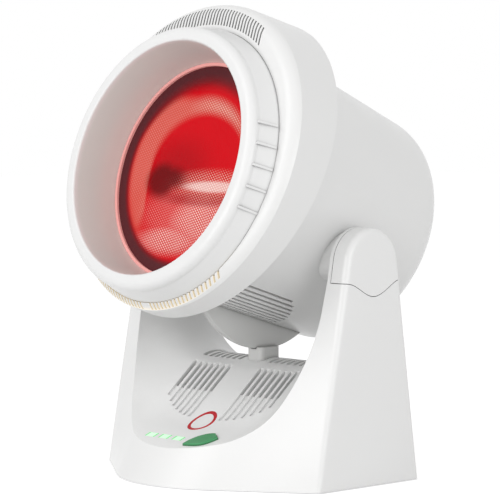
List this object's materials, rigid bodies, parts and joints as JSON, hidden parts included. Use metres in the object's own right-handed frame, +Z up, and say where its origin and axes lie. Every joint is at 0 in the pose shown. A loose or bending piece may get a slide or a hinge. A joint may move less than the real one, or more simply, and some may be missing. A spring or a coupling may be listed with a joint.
{
  "type": "infrared heat lamp",
  "caption": "Tabletop infrared heat lamp: a round lamp head behind a red filter glass tilts on a side-to-side axis between the two uprights of a moulded base with a push button.",
  "frame": {"origin": "on the table under the rubber feet, at the middle of the lamp's overall width and depth", "axes": "+Z up; the lamp faces -Y with its glass leaning back; +X is the lamp's left as it faces the user; the object is all but mirrored about X = 0"},
  "size_m": [0.1874, 0.2092, 0.2808],
  "materials": {
    "base_white": "satin",
    "underside_plastic": "matte",
    "foot_rubber": "matte",
    "screw_steel": "zinc plated",
    "bush_plastic": "matte",
    "head_white": "satin",
    "pad_felt": "matte",
    "board_laminate": "satin",
    "guide_green": "frosted",
    "led_body": "satin",
    "component_black": "matte",
    "marker_red": "satin",
    "component_blue": "satin",
    "transformer_yellow": "matte",
    "terminal_green": "satin",
    "gland_black": "matte",
    "button_green": "satin",
    "bezel_white": "satin",
    "seal_pink": "satin",
    "filter_red": "polished",
    "clip_steel": "stamped",
    "reflector_aluminium": "polished",
    "lamp_quartz": "polished",
    "holder_ceramic": "matte",
    "pin_steel": "turned"
  },
  "bodies": {
    "base": {"base_housing": "base_white", "pivot_cover_right": "base_white", "pivot_cover_left": "base_white", "base_plate": "underside_plastic", "rubber_feet": "foot_rubber", "base_screws": "screw_steel", "bearing_bush_right": "bush_plastic", "bearing_bush_left": "bush_plastic", "brake_post": "head_white", "brake_pad": "pad_felt", "post_screws": "screw_steel", "control_board": "board_laminate", "board_screws": "screw_steel", "light_guides": "guide_green", "status_leds": "led_body", "tact_switch": "component_black", "marker_ring": "marker_red", "power_board": "board_laminate", "power_screws": "screw_steel", "power_relay": "component_blue", "board_transformer": "transformer_yellow", "terminal_block": "terminal_green", "cable_gland": "gland_black"},
    "button": {"push_button": "button_green"},
    "head": {"rear_housing": "head_white", "outer_ring": "head_white", "front_bezel": "bezel_white", "glass_seal": "seal_pink", "filter_glass": "filter_red", "glass_clips": "clip_steel", "clip_screws": "screw_steel", "reflector": "reflector_aluminium", "heating_lamp": "lamp_quartz", "lamp_holders": "holder_ceramic", "lamp_brackets": "clip_steel", "thermal_cutout": "component_black", "tilt_keel": "head_white", "keel_screws": "screw_steel", "trunnion_right": "pin_steel", "trunnion_left": "pin_steel", "trunnion_nuts": "pin_steel", "pivot_washers": "pin_steel", "pivot_nuts": "pin_steel", "ring_screws": "screw_steel"}
  },
  "joints": [
    {"name": "head_tilt", "type": "hinge", "parent": "base", "child": "head", "pos_m": [0, 0.00431, 0.133], "axis": [-1, 0, 0], "range_deg": [-20, 15]},
    {"name": "button_press", "type": "slide", "parent": "base", "child": "button", "axis": [0, 0.3584, -0.9336], "range_m": [0, 0.0008], "stiffness_N_per_m": 1200}
  ]
}
